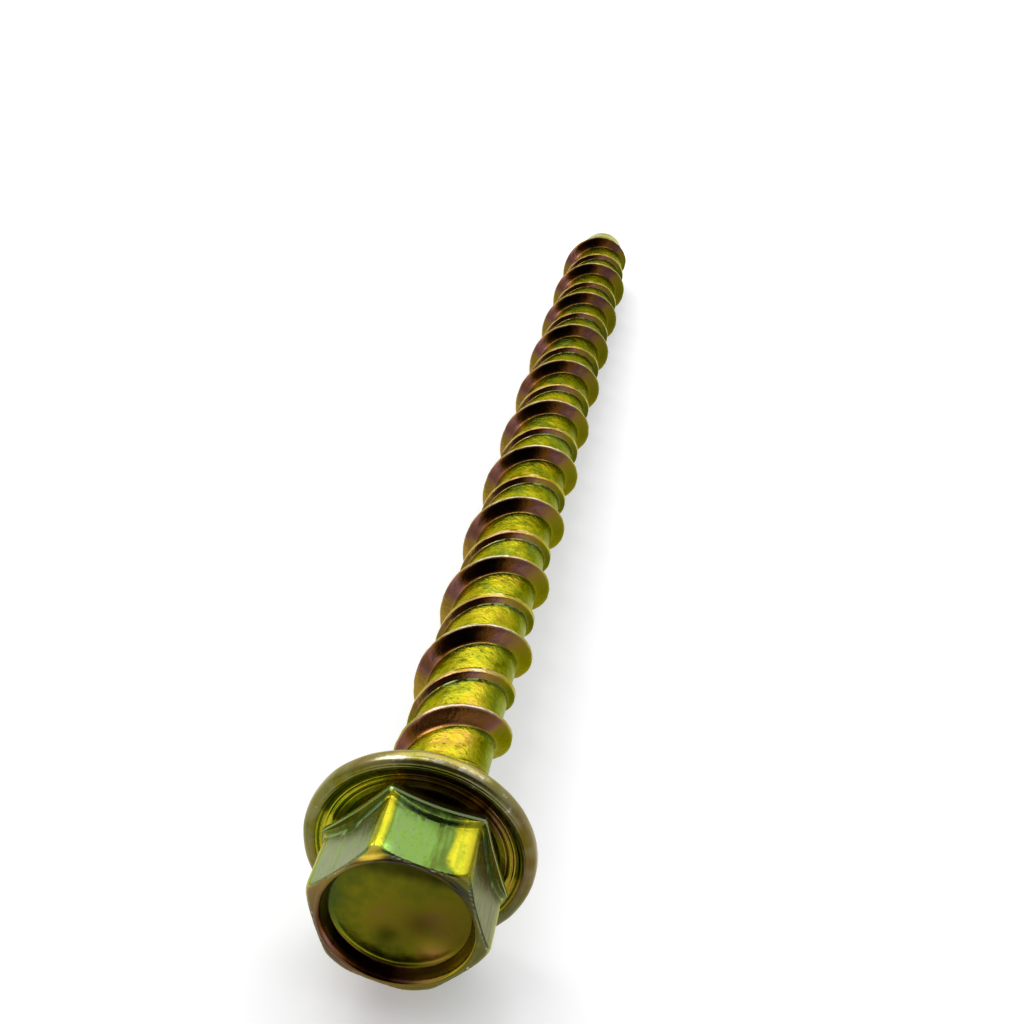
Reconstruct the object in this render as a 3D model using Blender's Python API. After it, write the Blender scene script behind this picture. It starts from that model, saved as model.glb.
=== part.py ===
"""Hexagon-washer-head concrete screw, lying at rest, in metres, +Z up, head towards -Y."""

import math

import bmesh
import bpy
from mathutils import Matrix, Vector

# Shank: the length runs from the bearing face under the flange to the flat tip.
LENGTH = 0.0900
CORE_RADIUS = 0.00236
NECK_FLARE = 0.00056
NECK_START = 0.0003
NECK_END = 0.0039

# Thread: a tall ridge and a low ridge, half a lead apart, right handed.
LEAD = 0.0078
HIGH_HEIGHT = 0.00079
HIGH_BASE = 0.00124
HIGH_CREST = 0.00027
LOW_HEIGHT = 0.00035
LOW_BASE = 0.00084
LOW_CREST = 0.00025
THREAD_START = 0.0035
THREAD_RISE = 0.0030
RUN_OUT = 0.0026
THREAD_PHASE = 216.0

# Tip: a short cone that ends in a flat face.
TIP_LENGTH = 0.00255
TIP_TAPER = 0.00045

# Hexagon, which stands on its flange over an undercut ledge.
ACROSS_FLATS = 0.0080
CORNER_ROUND = 0.00045
HEAD_HEIGHT = 0.0060
HEX_PHASE = 39.7
LEDGE_OVERHANG = 0.00025
LEDGE_ROUND = 0.00022
LEDGE_GAP = 0.00044
LEDGE_THICKNESS = 0.0003
LEDGE_FADE = 0.00099
LEDGE_RISE = 0.00024
UNDERCUT = 0.00045

# Flange, raised a little at its rim.
FLANGE_MARGIN = 0.00108
FLANGE_THICKNESS = 0.00122
UNDERSIDE_BEVEL = 0.00063
RIM_START = 0.00045
RIM_BAND = 0.00035
RIM_ROUND = 0.00016
RIM_WIDTH = 0.00056
DISH_CLEARANCE = 0.0001
DISH_DROP = 0.00022

# Cup in the top of the head, inside a rounded shoulder.
SHOULDER_INSET = 0.00005
SHOULDER_DEPTH = 0.00062
SHOULDER_DROP = 0.00006
LIP_WIDTH = 0.00017
LIP_BEVEL = 0.00016
CUP_FILLET = 0.00026
CUP_DEPTH = 0.00095

# Facet counts.
TURN_FACETS = 32
RIM_FACETS = 32
FLAT_STEPS = 4
CORNER_STEPS = 3

# Radii that follow from these sizes.
NECK_RADIUS = CORE_RADIUS + NECK_FLARE
HIGH_CREST_RADIUS = CORE_RADIUS + HIGH_HEIGHT
TIP_RADIUS = CORE_RADIUS - TIP_TAPER
APOTHEM = ACROSS_FLATS / 2
CORNER_RADIUS = (APOTHEM - CORNER_ROUND) / math.cos(math.pi / 6) + CORNER_ROUND
LEDGE_CORNER_RADIUS = CORNER_RADIUS + LEDGE_OVERHANG
FLANGE_RADIUS = LEDGE_CORNER_RADIUS + FLANGE_MARGIN
BEARING_RADIUS = FLANGE_RADIUS - UNDERSIDE_BEVEL
DISH_RADIUS = LEDGE_CORNER_RADIUS + DISH_CLEARANCE
SHOULDER_RADIUS = APOTHEM - SHOULDER_INSET
CUP_LIP_RADIUS = SHOULDER_RADIUS - LIP_WIDTH
CUP_RADIUS = CUP_LIP_RADIUS - LIP_BEVEL
CUP_FLOOR_RADIUS = CUP_RADIUS - CUP_FILLET

# Heights above the bearing face that follow from them.
DISH_HEIGHT = FLANGE_THICKNESS - DISH_DROP
LEDGE_BOTTOM = FLANGE_THICKNESS + LEDGE_GAP
LEDGE_TOP = LEDGE_BOTTOM + LEDGE_THICKNESS
SHOULDER_TOP = HEAD_HEIGHT - SHOULDER_DROP


def clear_scene():
    for obj in list(bpy.data.objects):
        bpy.data.objects.remove(obj, do_unlink=True)


def at(angle, radius, along):
    """A point on the screw's own axes: along is +Y towards the tip, angle 0 is straight down."""
    turn = math.radians(angle)
    return Vector((-radius * math.sin(turn), along, -radius * math.cos(turn)))


def angle_of(vert):
    return math.degrees(math.atan2(-vert.co.x, -vert.co.z)) % 360.0


def radius_of(vert):
    return math.hypot(vert.co.x, vert.co.z)


def lerp(a, b, share):
    share = min(max(share, 0.0), 1.0)
    return a + (b - a) * share


def neck_radius(along):
    return lerp(NECK_RADIUS, CORE_RADIUS, (along - NECK_START) / (NECK_END - NECK_START))


def envelope(along):
    """The largest radius that the blank leaves at this place along the tip."""
    cone_start = LENGTH - TIP_LENGTH
    if along > cone_start:
        return lerp(CORE_RADIUS, TIP_RADIUS, (along - cone_start) / TIP_LENGTH)
    return lerp(HIGH_CREST_RADIUS, CORE_RADIUS, (along - cone_start + RUN_OUT) / RUN_OUT)


def thread_profile():
    """(place in the lead, height above the core) for one lead of the two-start thread."""
    ridges = (
        (0.25 * LEAD, HIGH_BASE, HIGH_CREST, HIGH_HEIGHT),
        (0.75 * LEAD, LOW_BASE, LOW_CREST, LOW_HEIGHT),
    )
    points = []
    for centre, base, crest, height in ridges:
        points.append((centre - base / 2, 0.0))
        points.append((centre - crest / 2, height))
        points.append((centre + crest / 2, height))
        points.append((centre + base / 2, 0.0))
    return points


def surface_radius(along, height):
    rise = lerp(0.0, 1.0, (along - THREAD_START) / THREAD_RISE)
    return min(max(neck_radius(along), CORE_RADIUS + rise * height), envelope(along))


def build_shank(bm):
    """The threaded shank as one helical strip, cut square at the flange and at the tip."""
    profile = thread_profile()
    first = -2 * LEAD
    crest_phase = THREAD_PHASE + 360.0 * (first + 0.25 * LEAD) / LEAD
    steps = math.ceil((LENGTH - first) / LEAD + 1.0) * TURN_FACETS
    rows = []
    for i in range(steps + 1):
        turn = 360.0 * i / TURN_FACETS + crest_phase
        offset = first + LEAD * i / TURN_FACETS
        rows.append([bm.verts.new(at(turn, CORE_RADIUS + h, offset + z)) for z, h in profile])
    for i in range(steps):
        here = rows[i]
        ahead = rows[i + 1]
        for p in range(len(profile) - 1):
            bm.faces.new((here[p], here[p + 1], ahead[p + 1], ahead[p]))
        if i + TURN_FACETS + 1 <= steps:
            over = rows[i + TURN_FACETS]
            over_ahead = rows[i + TURN_FACETS + 1]
            bm.faces.new((here[-1], over[0], over_ahead[0], ahead[-1]))
    for place in (0.0, NECK_END, LENGTH - TIP_LENGTH, LENGTH):
        keep_tip_side = place == 0.0
        keep_head_side = place == LENGTH
        bmesh.ops.bisect_plane(
            bm,
            geom=list(bm.verts) + list(bm.edges) + list(bm.faces),
            dist=1e-7,
            plane_co=Vector((0, place, 0)),
            plane_no=Vector((0, 1, 0)),
            clear_inner=keep_tip_side,
            clear_outer=keep_head_side,
        )
    for vert in bm.verts:
        old = radius_of(vert)
        new = surface_radius(vert.co.y, old - CORE_RADIUS)
        vert.co.x *= new / old
        vert.co.z *= new / old


def rim_of(bm, along):
    """The open edge loop at this place, as vertices in the order of their angle."""
    found = []
    for vert in bm.verts:
        if abs(vert.co.y - along) < 1e-6 and any(edge.is_boundary for edge in vert.link_edges):
            found.append(vert)
    return sorted(found, key=angle_of)


def ring(bm, angles, radius_at, height_at):
    return [bm.verts.new(at(angle, radius_at(angle), -height_at(angle))) for angle in angles]


def join_rings(bm, lower, upper):
    """Closes the band between two rings whose vertices go round in step."""
    count = len(lower)
    for i in range(count):
        j = (i + 1) % count
        bm.faces.new((lower[i], upper[i], upper[j], lower[j]))


def zip_rings(bm, first, second):
    """Closes the band between two rings that have different vertex counts."""
    a = sorted(first, key=angle_of)
    b = sorted(second, key=angle_of)
    i = 0
    j = 0
    while i < len(a) or j < len(b):
        at_a = a[i % len(a)]
        at_b = b[j % len(b)]
        next_a = angle_of(a[(i + 1) % len(a)]) + 360.0 * ((i + 1) // len(a))
        next_b = angle_of(b[(j + 1) % len(b)]) + 360.0 * ((j + 1) // len(b))
        if j >= len(b) or (i < len(a) and next_a <= next_b):
            bm.faces.new((at_a, a[(i + 1) % len(a)], at_b))
            i += 1
        else:
            bm.faces.new((at_a, b[(j + 1) % len(b)], at_b))
            j += 1


def hex_angles():
    """Directions that put vertices on each corner's arc and across each flat."""
    edge_half = (APOTHEM - CORNER_ROUND) * math.tan(math.radians(30.0))
    flat_end = math.degrees(math.atan(edge_half / APOTHEM))
    angles = []
    for side in range(6):
        middle = HEX_PHASE + 30.0 + 60.0 * side
        for k in range(FLAT_STEPS + 1):
            share = 2.0 * k / FLAT_STEPS - 1.0
            angles.append(middle + math.degrees(math.atan(share * edge_half / APOTHEM)))
        for k in range(1, CORNER_STEPS):
            angles.append(middle + lerp(flat_end, 60.0 - flat_end, k / CORNER_STEPS))
    return sorted(angle % 360.0 for angle in angles)


def hex_radius(angle, apothem, corner_round):
    """Radius of a hexagon with rounded corners in this direction."""
    from_flat = abs((angle - HEX_PHASE) % 60.0 - 30.0)
    turn = math.radians(from_flat)
    inner = apothem - corner_round
    if math.tan(turn) * apothem <= inner * math.tan(math.radians(30.0)):
        return apothem / math.cos(turn)
    centre = inner / math.cos(math.radians(30.0))
    off = math.radians(30.0) - turn
    reach = max(corner_round**2 - (centre * math.sin(off)) ** 2, 0.0)
    return centre * math.cos(off) + math.sqrt(reach)


def ledge_radius(angle):
    apothem = (LEDGE_CORNER_RADIUS - LEDGE_ROUND) * math.cos(math.radians(30.0)) + LEDGE_ROUND
    return hex_radius(angle, apothem, LEDGE_ROUND)


def ledge_rise(angle):
    """The ledge sags towards the flange at each corner and stands higher along each flat."""
    from_flat = abs((angle - HEX_PHASE) % 60.0 - 30.0)
    return LEDGE_RISE * (1.0 - (from_flat / 30.0) ** 2)


def shoulder_radius(height):
    """The rounded shoulder that takes the corners down to the rim of the cup."""
    below = (SHOULDER_TOP - height) / SHOULDER_DEPTH
    if below >= 1.0:
        return LEDGE_CORNER_RADIUS
    reach = CORNER_RADIUS - SHOULDER_RADIUS
    return SHOULDER_RADIUS + reach * math.sqrt(1.0 - (1.0 - max(below, 0.0)) ** 2)


def body_radius(angle, height):
    """The hexagon's outline at this height: flats, the flare to the ledge and the shoulder."""
    plain = hex_radius(angle, APOTHEM, CORNER_ROUND)
    flare = lerp(LEDGE_CORNER_RADIUS, APOTHEM, (height - LEDGE_TOP) / LEDGE_FADE)
    widened = max(plain, min(ledge_radius(angle), flare))
    return min(widened, shoulder_radius(height))


def build_head(bm, neck_rim):
    rim_angles = [360.0 * (k + 0.5) / RIM_FACETS for k in range(RIM_FACETS)]
    flange = (
        (BEARING_RADIUS, 0.0),
        (FLANGE_RADIUS - 0.4 * UNDERSIDE_BEVEL, 0.4 * RIM_START),
        (FLANGE_RADIUS, RIM_START),
        (FLANGE_RADIUS, RIM_START + RIM_BAND),
        (FLANGE_RADIUS - RIM_ROUND, FLANGE_THICKNESS - RIM_ROUND),
        (FLANGE_RADIUS - RIM_WIDTH, FLANGE_THICKNESS),
        (DISH_RADIUS, DISH_HEIGHT),
    )
    rings = [ring(bm, rim_angles, lambda _, r=r: r, lambda _, h=h: h) for r, h in flange]
    zip_rings(bm, rings[0], neck_rim)
    for lower, upper in zip(rings, rings[1:]):
        join_rings(bm, upper, lower)
    angles = hex_angles()
    hexes = [
        ring(bm, angles, lambda a: ledge_radius(a) - UNDERCUT, lambda _: DISH_HEIGHT),
        ring(bm, angles, ledge_radius, lambda a: LEDGE_BOTTOM + ledge_rise(a)),
    ]
    for k in range(6):
        height = LEDGE_TOP + LEDGE_FADE * k / 5
        lift = 1.0 - k / 5
        hexes.append(
            ring(
                bm,
                angles,
                lambda a, h=height: body_radius(a, h),
                lambda a, h=height, s=lift: h + s * ledge_rise(a),
            )
        )
    for k in range(6):
        depth = SHOULDER_DEPTH * (1.0 - math.sin(math.radians(18.0 * k)))
        height = SHOULDER_TOP - depth
        hexes.append(ring(bm, angles, lambda a, h=height: body_radius(a, h), lambda _, h=height: h))
    cup = (
        (CUP_LIP_RADIUS, HEAD_HEIGHT),
        (CUP_RADIUS + 0.4 * LIP_BEVEL, HEAD_HEIGHT - 0.08 * CUP_DEPTH),
        (CUP_FLOOR_RADIUS + 0.8 * CUP_FILLET, HEAD_HEIGHT - 0.50 * CUP_DEPTH),
        (CUP_FLOOR_RADIUS + 0.4 * CUP_FILLET, HEAD_HEIGHT - 0.90 * CUP_DEPTH),
        (CUP_FLOOR_RADIUS, HEAD_HEIGHT - CUP_DEPTH),
    )
    for radius, height in cup:
        hexes.append(ring(bm, angles, lambda _, r=radius: r, lambda _, h=height: h))
    zip_rings(bm, hexes[0], rings[-1])
    for lower, upper in zip(hexes, hexes[1:]):
        join_rings(bm, upper, lower)
    bm.faces.new(hexes[-1])


def lay_down(bm):
    """Tips the screw until the flange rim and a thread crest near the tip both touch the floor."""
    lowest_rim = FLANGE_RADIUS * math.cos(math.pi / RIM_FACETS)
    turns = math.floor((LENGTH - TIP_LENGTH - RUN_OUT) / LEAD + THREAD_PHASE / 360.0)
    touch = LEAD * (turns - THREAD_PHASE / 360.0)
    tilt = math.atan2(lowest_rim - HIGH_CREST_RADIUS, touch + RIM_START)
    bmesh.ops.transform(bm, matrix=Matrix.Rotation(-tilt, 4, "X"), verts=bm.verts)
    middle_x = (min(v.co.x for v in bm.verts) + max(v.co.x for v in bm.verts)) / 2
    middle_y = (min(v.co.y for v in bm.verts) + max(v.co.y for v in bm.verts)) / 2
    floor = min(v.co.z for v in bm.verts)
    bmesh.ops.translate(bm, vec=Vector((-middle_x, -middle_y, -floor)), verts=bm.verts)


def zinc_material():
    material = bpy.data.materials.new("yellow_zinc")
    material.use_nodes = True
    shader = material.node_tree.nodes["Principled BSDF"]
    shader.inputs["Base Color"].default_value = (0.46, 0.44, 0.08, 1.0)
    shader.inputs["Metallic"].default_value = 1.0
    shader.inputs["Roughness"].default_value = 0.30
    return material


def main():
    clear_scene()
    bm = bmesh.new()
    build_shank(bm)
    neck_rim = rim_of(bm, 0.0)
    tip_rim = rim_of(bm, LENGTH)
    bm.faces.new(tip_rim)
    build_head(bm, neck_rim)
    lay_down(bm)
    bmesh.ops.recalc_face_normals(bm, faces=bm.faces)
    mesh = bpy.data.meshes.new("concrete_screw")
    bm.to_mesh(mesh)
    bm.free()
    screw = bpy.data.objects.new("concrete_screw", mesh)
    bpy.context.scene.collection.objects.link(screw)
    mesh.materials.append(zinc_material())
    mesh.shade_smooth()
    mesh.set_sharp_from_angle(angle=math.radians(28))


main()
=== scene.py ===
# %% [markdown]
# # A yellow zinc concrete screw
# A concrete screw is forged and rolled from one steel wire. Its head is a hexagon that stands
# on a washer flange, with a shallow cup in its top. Its shank carries two threads side by side:
# a tall one that cuts into the wall of the hole and a low one that steadies it. The finish is
# zinc with a yellow chromate film, thin enough to split light into green, gold and pink.
#
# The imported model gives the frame. Everything below is modelled in it, in metres.

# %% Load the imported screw
import math
from functools import partial

import bmesh
import bpy
import numpy as np
from mathutils import Matrix, Vector, noise


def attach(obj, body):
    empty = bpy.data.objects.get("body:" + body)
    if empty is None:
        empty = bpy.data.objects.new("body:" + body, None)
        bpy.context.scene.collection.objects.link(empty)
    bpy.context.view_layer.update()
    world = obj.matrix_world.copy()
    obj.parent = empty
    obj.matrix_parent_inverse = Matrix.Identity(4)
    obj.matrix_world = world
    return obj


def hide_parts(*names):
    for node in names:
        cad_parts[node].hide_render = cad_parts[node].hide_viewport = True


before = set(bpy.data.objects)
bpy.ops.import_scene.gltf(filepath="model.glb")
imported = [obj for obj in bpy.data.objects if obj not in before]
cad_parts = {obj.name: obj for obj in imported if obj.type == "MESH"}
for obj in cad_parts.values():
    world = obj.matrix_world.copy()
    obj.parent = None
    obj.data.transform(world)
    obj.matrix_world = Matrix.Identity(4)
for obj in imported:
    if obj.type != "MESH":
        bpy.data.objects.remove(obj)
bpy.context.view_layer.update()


# %% [markdown]
# ## The camera
# The screw was photographed from close by, from above its head, so the head looks large and the
# tip small. The camera was solved from the thread crests, so it is set as a matrix and not by
# hand. Its roll of about ten degrees is part of that matrix.

# %% Camera
scene = bpy.context.scene
camera_data = bpy.data.cameras.new("camera")
camera_data.sensor_width = 36.0
camera_data.lens = 51.8115
camera_data.shift_x = -0.00127
camera_data.clip_start = 0.005
camera_data.clip_end = 20.0
camera = bpy.data.objects.new("camera", camera_data)
scene.collection.objects.link(camera)
camera.matrix_world = Matrix((
    (0.9774164, -0.2029141, 0.0590169, 0.0054269),
    (0.1561501, 0.5053219, -0.8486854, -0.0950887),
    (0.1423877, 0.8387346, 0.5255950, 0.0584669),
    (0.0, 0.0, 0.0, 1.0),
))
scene.camera = camera
print("camera is", round(camera.matrix_world.translation.z * 1000), "mm above the floor")

# %% [markdown]
# ## The screw's own axes
# A turned part is easiest to model along its own axis. Here +Y runs from the bearing face under
# the flange to the tip. An angle of 0 points straight down, and angles grow as a right-handed
# thread does on its way to the tip. `LAY` later tips the finished pieces onto the rim and the
# thread, as the screw rests on the floor. Lengths are written in millimetres.

# %% Axes and points
MM = 0.001
DIP = 1.8964
BEARING_FACE = (0.0, -0.0419462, 0.0058364)
LAY = Matrix.Translation(BEARING_FACE) @ Matrix.Rotation(math.radians(-DIP), 4, "X")


def at(angle, radius, along):
    """A point on the screw's own axes, from degrees and millimetres."""
    turn = math.radians(angle)
    return Vector((-radius * math.sin(turn), along, -radius * math.cos(turn))) * MM


def mesh_points(piece):
    points = np.empty(len(piece.data.vertices) * 3)
    piece.data.vertices.foreach_get("co", points)
    return points.reshape(-1, 3)


def set_mesh_points(piece, points):
    piece.data.vertices.foreach_set("co", points.ravel())
    piece.data.update()


def ring_places(points):
    """Radius and place along in millimetres, and the angle from straight down in degrees."""
    radius = np.hypot(points[:, 0], points[:, 2]) / MM
    angle = np.degrees(np.arctan2(-points[:, 0], -points[:, 2])) % 360.0
    return radius, points[:, 1] / MM, angle


def turn_from(angle, middle):
    """Signed degrees from a direction, between -180 and 180."""
    return (np.asarray(angle) - middle + 180.0) % 360.0 - 180.0


print("axis dips", DIP, "degrees towards the tip")

# %% [markdown]
# ## The shank and its two threads
# The real threads are rolled: two dies press the wire until metal rises between their grooves.
# A single outline of one lead holds both ridges, with points close together on their flanks.

# %% One lead of the thread outline
LENGTH = 90.0
CORE = 2.36
LEAD = 7.80
TALL = dict(place=0.25 * LEAD, height=0.79, base=1.34, crest=0.25)
LOW = dict(place=0.75 * LEAD, height=0.35, base=0.80, crest=0.40)
FLANK_STEPS = 8
CORE_SPANS = ((0.0, 1.28), (2.62, 5.47), (6.23, LEAD))
CORE_SPACING = 0.20


def ease(share):
    share = np.clip(share, 0.0, 1.0)
    return share * share * (3.0 - 2.0 * share)


def ridge_height(distance, ridge):
    """Height over the core at a distance along from the middle of the ridge."""
    run = (ridge["base"] - ridge["crest"]) / 2
    share = np.clip((ridge["base"] / 2 - np.abs(distance)) / run, 0.0, 1.0)
    return ridge["height"] * (0.45 * share + 0.55 * ease(share))


places = [0.0, TALL["place"], LOW["place"]]
for ridge in (TALL, LOW):
    half = ridge["base"] / 2
    rim = ridge["crest"] / 2
    for step in range(FLANK_STEPS + 1):
        distance = half - (half - rim) * step / FLANK_STEPS
        places += [ridge["place"] - distance, ridge["place"] + distance]
for start, end in CORE_SPANS:
    count = max(2, round((end - start) / CORE_SPACING))
    places += list(np.linspace(start, end, count + 1)[1:])
outline = []
for place in sorted(set(round(p, 5) for p in places)):
    rise = max(ridge_height(place - ridge["place"], ridge) for ridge in (TALL, LOW))
    outline.append((place, CORE + float(rise)))
print("points in one lead:", len(outline))

# %% [markdown]
# The Screw modifier turns that outline about the axis and moves it on by one lead each turn,
# which is exactly what a thread is. It starts two leads before the flange, so that every part
# of the shank is covered.

# %% Screw the outline round the axis
TALL_CREST_TURN = 216.0
FIRST = -2.0 * LEAD
STEPS = 80


def outline_object(name, corners):
    """An object whose mesh is one open chain of edges."""
    mesh = bpy.data.meshes.new(name)
    mesh.from_pydata(corners, [(k, k + 1) for k in range(len(corners) - 1)], [])
    piece = bpy.data.objects.new(name, mesh)
    scene.collection.objects.link(piece)
    return piece


def select_only(piece):
    bpy.ops.object.select_all(action="DESELECT")
    bpy.context.view_layer.objects.active = piece
    piece.select_set(True)


start_turn = TALL_CREST_TURN + 360.0 * (FIRST + TALL["place"]) / LEAD
shank = outline_object(
    "threaded_shank", [at(start_turn, radius, FIRST + place) for place, radius in outline])
select_only(shank)
screw = shank.modifiers.new("thread", "SCREW")
screw.axis = "Y"
screw.angle = 2.0 * math.pi
screw.screw_offset = LEAD * MM
screw.iterations = math.ceil(LENGTH / LEAD) + 4
screw.steps = STEPS
screw.render_steps = STEPS
screw.use_smooth_shade = True
bpy.ops.object.modifier_apply(modifier="thread")
radius, along, angle = ring_places(mesh_points(shank))
tops = radius > CORE + TALL["height"] - 0.001
from_helix = np.abs(turn_from(angle[tops], TALL_CREST_TURN + 360.0 * along[tops] / LEAD))
half_crest = 180.0 * TALL["crest"] / LEAD
print("crest reaches", round(float(from_helix.max()), 2), "degrees either way of its helix,",
      "and should reach", round(half_crest, 2))

# %% [markdown]
# ## Neck, run-out and tip
# Neighbouring turns share their edge, so merging by distance closes the surface. Bisect then
# cuts the long helix square at both ends, and adds rings where the outline is going to turn.

# %% Cut the shank to length
TIP_LENGTH = 2.55
TIP_EDGE = 0.16
CONE_START = LENGTH - TIP_LENGTH
INSIDE_FLANGE = -0.35
NECK_RINGS = (0.0, 0.12, 0.26, 0.42, 0.62)
TIP_RINGS = (CONE_START, LENGTH - TIP_EDGE, LENGTH - 0.08, LENGTH - 0.03)


def start_editing(piece):
    select_only(piece)
    bpy.ops.object.mode_set(mode="EDIT")
    bpy.ops.mesh.select_all(action="SELECT")


def stop_editing():
    """Turns the faces of the whole mesh outwards and leaves edit mode."""
    bpy.ops.mesh.select_all(action="SELECT")
    bpy.ops.mesh.normals_make_consistent(inside=False)
    bpy.ops.object.mode_set(mode="OBJECT")


def cut_across(place, **ends):
    bpy.ops.mesh.select_all(action="SELECT")
    bpy.ops.mesh.bisect(
        plane_co=(0, place * MM, 0), plane_no=(0, 1, 0), threshold=1e-7, **ends)


start_editing(shank)
bpy.ops.mesh.remove_doubles(threshold=1e-6)
cut_across(INSIDE_FLANGE, use_fill=True, clear_inner=True)
cut_across(LENGTH, use_fill=True, clear_outer=True)
for place in NECK_RINGS + TIP_RINGS:
    cut_across(place)
stop_editing()
print("shank points:", len(shank.data.vertices))

# %% [markdown]
# Under the head the core thickens into the flange. At the other end the tall ridge dies away
# and a short cone ends in a cropped face. The points are drawn in to that blank by rule,
# because no modifier follows a thread and a cone at once. Noise adds the marks of the dies and
# small nicks in the crests.

# %% Draw the points in to the blank
NECK = 2.92
NECK_START = 0.30
NECK_END = 3.9
FILLET = 0.42
FILLET_END = 0.55
TIP = 1.91
RUN_OUT = 2.6
THREAD_START = 3.5
THREAD_RISE = 3.0


def lerp(a, b, share):
    return a + (b - a) * np.clip(share, 0.0, 1.0)


def quarter_round(share):
    """How far a quarter circle has fallen from its tangent, both from 0 to 1."""
    return 1.0 - np.sqrt(1.0 - np.clip(share, 0, 1) ** 2)


def blank_radius(along):
    """The radius of the blank: neck, core and tip cone."""
    neck = lerp(NECK, CORE, (along - NECK_START) / (NECK_END - NECK_START))
    fillet = FILLET * quarter_round(1.0 - along / FILLET_END)
    cone = lerp(CORE, TIP, (along - CONE_START) / TIP_LENGTH)
    cone = cone - TIP_EDGE * quarter_round((along - LENGTH + TIP_EDGE) / TIP_EDGE)
    return np.where(along > NECK_END, cone, neck + fillet)


def most_radius(along):
    fade = lerp(CORE + TALL["height"], CORE, (along - CONE_START + RUN_OUT) / RUN_OUT)
    return np.where(along > CONE_START, blank_radius(along), fade)


def cloudy(points, size, seed, octaves=3):
    """Smooth seeded noise at each point, about -1 to 1, with clouds of this size in mm."""
    shift = Vector((seed * 7.31, seed * 3.17, seed * 1.93))
    return np.array([
        noise.fractal(Vector(p) / (size * MM) + shift, 0.6, 2.1, octaves) for p in points.tolist()
    ])


def scale_from_axis(piece, points, scale):
    points[:, 0] *= scale
    points[:, 2] *= scale
    set_mesh_points(piece, points)


points = mesh_points(shank)
radius, along, angle = ring_places(points)
grown = lerp(0.0, 1.0, (along - THREAD_START) / THREAD_RISE)
height = np.maximum(radius - CORE, 0.0)
wanted = np.maximum(blank_radius(along), CORE + grown * height)
wanted = np.minimum(wanted, np.maximum(most_radius(along), blank_radius(along)))
flat_end = (along > LENGTH - 1e-4) | (along < INSIDE_FLANGE + 1e-4)
hammer = cloudy(points, 1.1, 1) * 0.012 + cloudy(points, 0.35, 2, 2) * 0.004
crest_share = np.clip(height / TALL["height"], 0, 1)
nicks = np.minimum(cloudy(points, 0.5, 3), 0.0) * 0.045 * crest_share
wanted = wanted + np.where(flat_end, 0.0, hammer + nicks)
scale_from_axis(shank, points, np.where(radius > 1.0, wanted / np.maximum(radius, 1e-6), 1.0))
print("widest, mm:", round(float(np.hypot(points[:, 0], points[:, 2]).max() * 2000), 3))

# %% [markdown]
# ## Film on the shank
# The film is uneven, and its thickness decides the colour. So each point keeps a few numbers
# for its material to read. The first is the thickness, from 0, nearly black, through brown, gold
# and yellow to 1, grey green; in many places it is set to paint reflections and shade into the
# colour. The second dims the colour: a little of that is tarnish, most of it is painted shade,
# and below zero it is painted light. `mottle` breaks the film into clouds, and the last number
# bares the zinc, both for real wear and for painted highlights. To place them, each point has to
# know how far along the axis it is from the tall ridge and from the low one, and how many degrees
# it is from the top.

# %% Places on the thread


def bell(distance, width):
    return np.exp(-(distance / width) ** 2)


radius, along, angle = ring_places(points)
side = turn_from(angle, 180.0)
from_tall = (along - (angle - TALL_CREST_TURN) / 360.0 * LEAD + LEAD / 2) % LEAD - LEAD / 2
from_low = from_tall % LEAD - LEAD / 2
threaded = grown > 0.3
tall_flank = (from_tall < -0.10) & (from_tall > -0.68) & threaded
low_flank = (from_low < -0.19) & (from_low > -0.40) & threaded
flank = tall_flank | low_flank
tall_crest = bell(from_tall, 0.10) * grown
low_crest = ease((0.25 - np.abs(from_low - 0.02)) / 0.06) * grown
crest_line = np.maximum(tall_crest, low_crest)
# `far` marks the half towards the tip, which gets painted shade.
far = ease((along - 38.0) / 25.0)
near_head = ease((10.5 - along) / 3.0) * ease((70.0 - np.abs(side)) / 35.0)
turned_away = ease((np.abs(side) - 18.0) / 32.0)
print("points on the flanks:", int(flank.sum()))

# %% [markdown]
# The core goes from yellow on top to green and dark on the right: partly the film's own colour,
# partly a painted reflection on top and painted shade on the right. In front of the foot of each
# ridge the film is thicker, and the core there is darkened as the painted shadow of the ridge.

# %% Film on the core
# Partly the film's colour, partly painted reflection: yellow on top, green to the right.
CORE_FILM_AND_REFLECTION = (
    (-180, 0.60), (-90, 0.60), (-60, 0.57), (-30, 0.50), (0, 0.47), (25, 0.46), (42, 0.56),
    (60, 0.74), (90, 0.84), (130, 0.66), (180, 0.60),
)
NEAR_MOST = 0.78
FAR_MOST = 0.93


def look_up(side, table):
    """Reads a table of (degrees from the top, value) in each direction."""
    return np.interp(side, *zip(*table))


cloud_depth = 0.06 + 0.10 * ease((along - 15.0) / 20.0)
film = look_up(side, CORE_FILM_AND_REFLECTION) + cloud_depth * cloudy(points, 3.0, 4)
film += 0.12 * ease((along - 18.0) / 25.0) * bell(side, 70.0)
film += grown * (0.26 * bell(from_tall + 0.92, 0.16) + 0.24 * bell(from_low + 0.58, 0.14))
# Painted shade: right side, foot of each ridge, left edge and tip half; the blotches are tarnish.
tarnish = 0.60 * ease((side - 28.0) / 26.0) * (1.0 - 0.55 * ease((side - 75.0) / 35.0))
tarnish += 0.45 * grown * (bell(from_tall + 0.84, 0.16) + bell(from_low + 0.52, 0.12))
tarnish += 0.60 * np.maximum(cloudy(points, 0.9, 18), 0.0)
tarnish += 0.15 * ease((-side - 45.0) / 25.0) + 0.14 * ease((along - 20.0) / 20.0)
tarnish = np.minimum(np.minimum(tarnish, NEAR_MOST) + 0.24 * far, FAR_MOST)
mottle = np.full(len(points), 0.75)
print("core film from", round(float(film.min()), 2), "to", round(float(film.max()), 2))
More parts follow.
